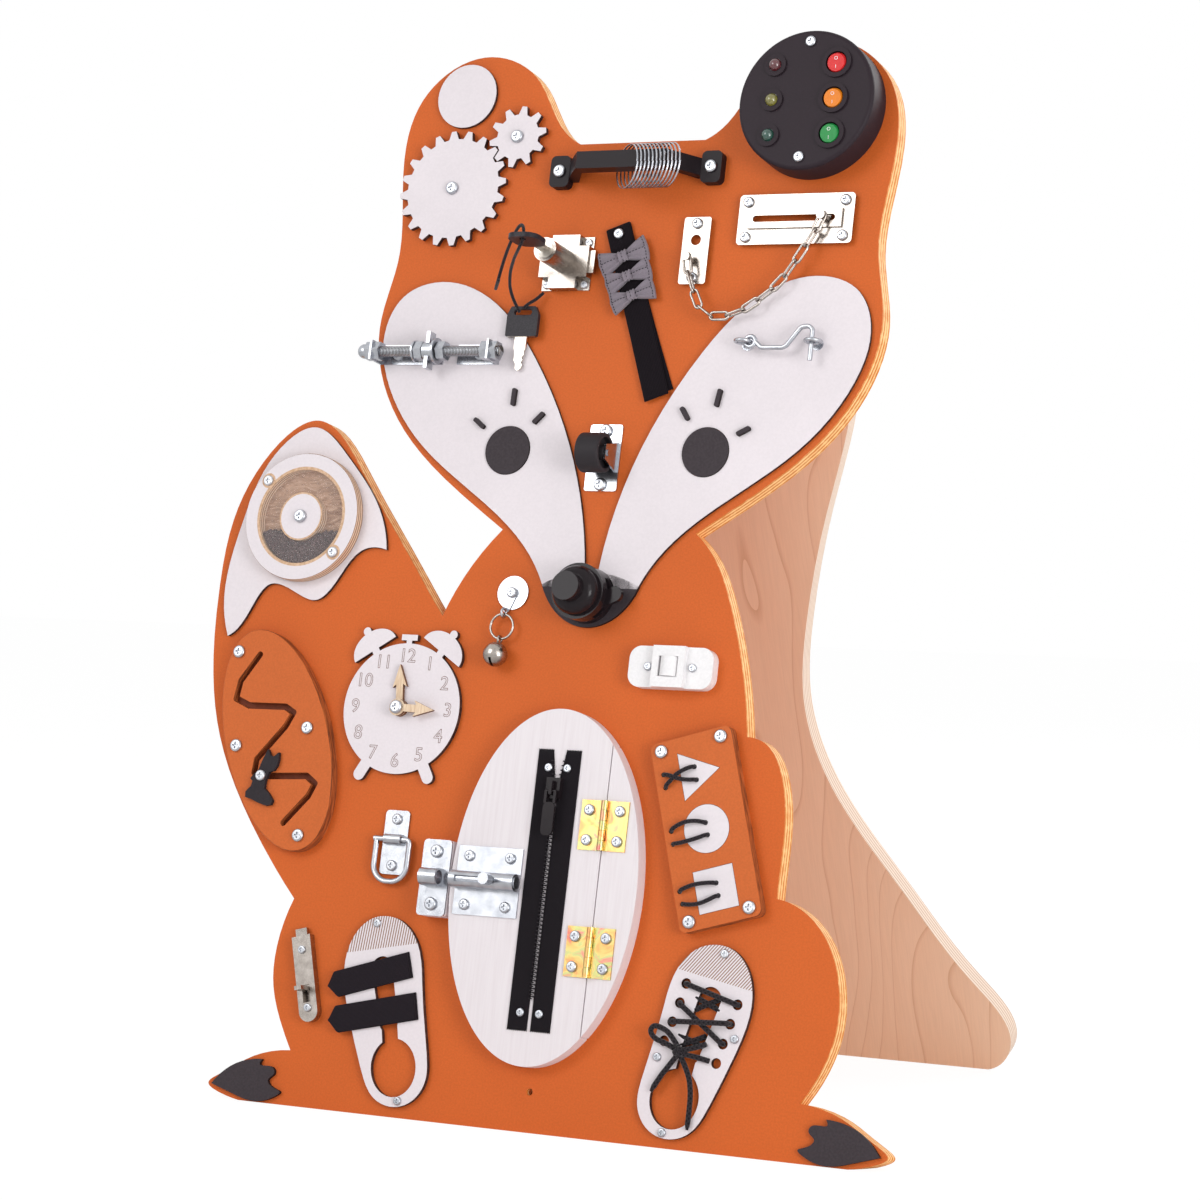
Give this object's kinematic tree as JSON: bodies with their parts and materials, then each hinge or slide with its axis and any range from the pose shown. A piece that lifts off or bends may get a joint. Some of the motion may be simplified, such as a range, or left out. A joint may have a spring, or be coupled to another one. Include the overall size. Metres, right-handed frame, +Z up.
{
  "type": "wooden busy board",
  "caption": "Free-standing fox-shaped wooden busy board on a folding rear panel, with gears, lamps, lock, chain, door with zipper and bolt, clock, maze, shape ties and shoe fastenings.",
  "frame": {"origin": "middle of the play board's flat foot on the floor", "axes": "+Z up, -Y towards the child at the play side, +X to the child's right"},
  "size_m": [0.585, 0.4169, 0.7816],
  "materials": {
    "amber_plastic": "gloss",
    "black_board": "matte",
    "black_cord": "woven",
    "black_gloss": "gloss",
    "black_metal": "satin",
    "black_plastic": "matte",
    "black_rubber": "matte",
    "clear_window": "clear",
    "granules": "matte",
    "green_plastic": "gloss",
    "grey_ribbon": "woven",
    "lens": "gloss",
    "nickel": "polished",
    "orange_board": "satin",
    "orange_play": "satin",
    "pale_ply": "satin",
    "red_plastic": "gloss",
    "steel": "satin",
    "white_board": "satin",
    "white_plastic": "gloss",
    "yellow_zinc": "satin",
    "zinc": "brushed"
  },
  "bodies": {
    "frame": {"board": "orange_board", "white_plates": "white_board", "black_plates": "black_board", "fixing_screws": "zinc", "lamp_housing": "black_plastic", "lamp_lenses": "lens", "battery_pack": "black_plastic", "handle": "black_metal", "key_cord": "black_cord", "chain": "nickel", "nickel_fittings": "nickel", "zinc_fittings": "zinc", "nose_bell": "black_gloss", "rain_granules": "granules", "maze_plate": "orange_play", "clock_face": "white_board", "fixed_panel": "white_board", "hinge_leaves_fixed": "yellow_zinc", "shape_plate": "orange_play", "shape_cords": "black_cord", "lace_and_tab": "black_cord", "flush_bolt_case": "nickel", "switch_case": "white_plastic"},
    "large_gear": {"gear_large": "white_board"},
    "small_gear": {"gear_small": "white_board"},
    "red_rocker": {"rocker_red": "red_plastic"},
    "amber_rocker": {"rocker_amber": "amber_plastic"},
    "green_rocker": {"rocker_green": "green_plastic"},
    "rings": {"steel_rings": "steel"},
    "key": {"lock_key": "black_gloss"},
    "lock_bolt_body": {"lock_bolt": "nickel"},
    "spare_key_body": {"spare_key": "black_gloss"},
    "strap_body": {"strap": "grey_ribbon"},
    "chain_stud": {"chain_slider": "nickel"},
    "hook": {"hook_rod": "zinc"},
    "nuts": {"rod_nuts": "zinc"},
    "roller": {"caster_wheel": "black_rubber"},
    "lever": {"nose_lever": "black_gloss"},
    "rain_drum": {"rain_disc": "white_board", "rain_window": "clear_window"},
    "cat": {"cat_slider": "black_board"},
    "hour": {"hour_hand": "pale_ply"},
    "minute": {"minute_hand": "pale_ply"},
    "lashing_d_ring": {"lashing_ring": "zinc"},
    "door": {"door_panel": "white_board", "door_fittings": "zinc", "zip_tapes": "black_cord"},
    "bolt": {"bolt_rod": "zinc"},
    "zip_runner": {"zip_slider": "black_gloss"},
    "zip_pull": {"zip_puller": "black_gloss"},
    "triangle_piece": {"triangle_inlay": "white_board"},
    "circle_piece": {"circle_inlay": "white_board"},
    "square_piece": {"square_inlay": "white_board"},
    "velcro_upper": {"velcro_strap_upper": "black_cord"},
    "velcro_lower": {"velcro_strap_lower": "black_cord"},
    "flush_bolt": {"flush_bolt_bar": "nickel"},
    "switch_rocker": {"switch_button": "white_plastic"},
    "split_ring": {"bell_rings": "nickel"},
    "bell": {"jingle_bell": "nickel"},
    "stand": {"rear_panel": "pale_ply"}
  },
  "joints": [
    {"name": "gear_large_turn", "type": "hinge", "parent": "frame", "child": "large_gear", "pos_m": [-0.1528, 0.14532, 0.67611], "axis": [0, -0.9744, 0.225], "continuous": true},
    {"name": "gear_small_turn", "type": "hinge", "parent": "frame", "child": "small_gear", "pos_m": [-0.10229, 0.15407, 0.71401], "axis": [0, -0.9744, 0.225], "continuous": true},
    {"name": "rocker_red_press", "type": "hinge", "parent": "frame", "child": "red_rocker", "pos_m": [0.1598, 0.1434, 0.75671], "axis": [1, 0, 0], "range_deg": [-16, 0]},
    {"name": "rocker_amber_press", "type": "hinge", "parent": "frame", "child": "amber_rocker", "pos_m": [0.1598, 0.13748, 0.73108], "axis": [1, 0, 0], "range_deg": [-16, 0]},
    {"name": "rocker_green_press", "type": "hinge", "parent": "frame", "child": "green_rocker", "pos_m": [0.1598, 0.13156, 0.70545], "axis": [1, 0, 0], "range_deg": [-16, 0]},
    {"name": "rings_slide", "type": "slide", "parent": "frame", "child": "rings", "axis": [1, 0, 0], "range_m": [-0.028, 0]},
    {"name": "key_turn", "type": "hinge", "parent": "frame", "child": "key", "pos_m": [-0.049, 0.09085, 0.6269], "axis": [0, -0.9744, 0.225], "range_deg": [0, 90], "deforming": ["key_cord"]},
    {"name": "lock_bolt_slide", "type": "slide", "parent": "frame", "child": "lock_bolt_body", "axis": [1, 0, 0], "range_m": [-0.0045, 0]},
    {"name": "spare_key_swing", "type": "hinge", "parent": "frame", "child": "spare_key_body", "pos_m": [-0.0786, 0.12225, 0.58065], "axis": [0, -0.9744, 0.225], "range_deg": [-16, 25]},
    {"name": "strap_lift", "type": "hinge", "parent": "frame", "child": "strap_body", "pos_m": [-0.00596, 0.13405, 0.63222], "axis": [0.9397, 0.0769, 0.3333], "range_deg": [-70, 0]},
    {"name": "chain_slide", "type": "slide", "parent": "frame", "child": "chain_stud", "axis": [1, 0, 0], "range_m": [-0.046, 0], "deforming": ["chain"]},
    {"name": "hook_turn", "type": "hinge", "parent": "frame", "child": "hook", "pos_m": [0.1098, 0.10885, 0.55819], "axis": [0, -0.9744, 0.225], "range_deg": [0, 70]},
    {"name": "nut_slide", "type": "slide", "parent": "frame", "child": "nuts", "axis": [1, 0, 0], "range_m": [-0.02, 0.012]},
    {"name": "caster_roll", "type": "hinge", "parent": "frame", "child": "roller", "pos_m": [-0.0015, 0.08469, 0.47797], "axis": [1, 0, 0], "continuous": true},
    {"name": "lever_press", "type": "hinge", "parent": "frame", "child": "lever", "pos_m": [0.009, 0.06497, 0.36809], "axis": [0, -0.9744, 0.225], "range_deg": [-18, 0], "stiffness_Nm_per_rad": 0.02},
    {"name": "rain_turn", "type": "hinge", "parent": "frame", "child": "rain_drum", "pos_m": [-0.2445, 0.08265, 0.42692], "axis": [0, -0.9744, 0.225], "continuous": true},
    {"name": "cat_slide", "type": "slide", "parent": "frame", "child": "cat", "axis": [0.9984, 0.0126, 0.0545], "range_m": [0, 0.03706]},
    {"name": "hour_turn", "type": "hinge", "parent": "frame", "child": "hour", "pos_m": [-0.1424, 0.05291, 0.28918], "axis": [0, -0.9744, 0.225], "continuous": true},
    {"name": "minute_turn", "type": "hinge", "parent": "frame", "child": "minute", "pos_m": [-0.1424, 0.04998, 0.28985], "axis": [0, -0.9744, 0.225], "continuous": true},
    {"name": "lashing_ring_swing", "type": "hinge", "parent": "frame", "child": "lashing_d_ring", "pos_m": [-0.135, 0.03278, 0.19489], "axis": [1, 0, 0], "range_deg": [-150, 0]},
    {"name": "door_open", "type": "hinge", "parent": "frame", "child": "door", "pos_m": [0.0376, 0.01693, 0.17156], "axis": [0, 0.225, 0.9744], "range_deg": [0, 100]},
    {"name": "bolt_slide", "type": "slide", "parent": "door", "child": "bolt", "axis": [1, 0, 0], "range_m": [-0.028, 0]},
    {"name": "zip_slide", "type": "slide", "parent": "door", "child": "zip_runner", "axis": [0, 0.225, 0.9744], "range_m": [-0.14, 0]},
    {"name": "puller_swing", "type": "hinge", "parent": "zip_runner", "child": "zip_pull", "pos_m": [-0.0031, 0.02652, 0.238], "axis": [1, 0, 0], "range_deg": [-120, 0]},
    {"name": "triangle_lift", "type": "slide", "parent": "frame", "child": "triangle_piece", "axis": [0, -0.9744, 0.225], "range_m": [0, 0.012], "deforming": ["shape_cords"]},
    {"name": "circle_lift", "type": "slide", "parent": "frame", "child": "circle_piece", "axis": [0, -0.9744, 0.225], "range_m": [0, 0.012], "deforming": ["shape_cords"]},
    {"name": "square_lift", "type": "slide", "parent": "frame", "child": "square_piece", "axis": [0, -0.9744, 0.225], "range_m": [0, 0.012], "deforming": ["shape_cords"]},
    {"name": "velcro_upper_open", "type": "hinge", "parent": "frame", "child": "velcro_upper", "pos_m": [-0.1075, 0.01274, 0.10766], "axis": [-0.3014, 0.2145, 0.9291], "range_deg": [0, 90]},
    {"name": "velcro_lower_open", "type": "hinge", "parent": "frame", "child": "velcro_lower", "pos_m": [-0.0985, 0.00622, 0.0794], "axis": [-0.2252, 0.2192, 0.9493], "range_deg": [0, 90]},
    {"name": "flush_slide", "type": "slide", "parent": "frame", "child": "flush_bolt", "axis": [-0.2571, 0.2174, 0.9416], "range_m": [-0.007, 0]},
    {"name": "switch_press", "type": "hinge", "parent": "frame", "child": "switch_rocker", "pos_m": [0.074, 0.05758, 0.3272], "axis": [0, 0.225, 0.9744], "range_deg": [-8, 8]},
    {"name": "bell_rings_swing", "type": "hinge", "parent": "frame", "child": "split_ring", "pos_m": [-0.0659, 0.06924, 0.35992], "axis": [0, -0.9744, 0.225], "range_deg": [-12, 12]},
    {"name": "bell_swing", "type": "hinge", "parent": "split_ring", "child": "bell", "pos_m": [-0.0664, 0.0651, 0.34199], "axis": [0, -0.9744, 0.225], "range_deg": [-12, 12]},
    {"name": "rear_fold", "type": "hinge", "parent": "frame", "child": "stand", "pos_m": [0, 0.15718, 0.63416], "axis": [1, 0, 0], "range_deg": [-33.4, 0]}
  ],
  "couplings": [
    {"joint": "gear_small_turn", "follows": "gear_large_turn", "ratio": -2},
    {"joint": "lock_bolt_slide", "follows": "key_turn", "m_per_rad": -0.0028648}
  ]
}
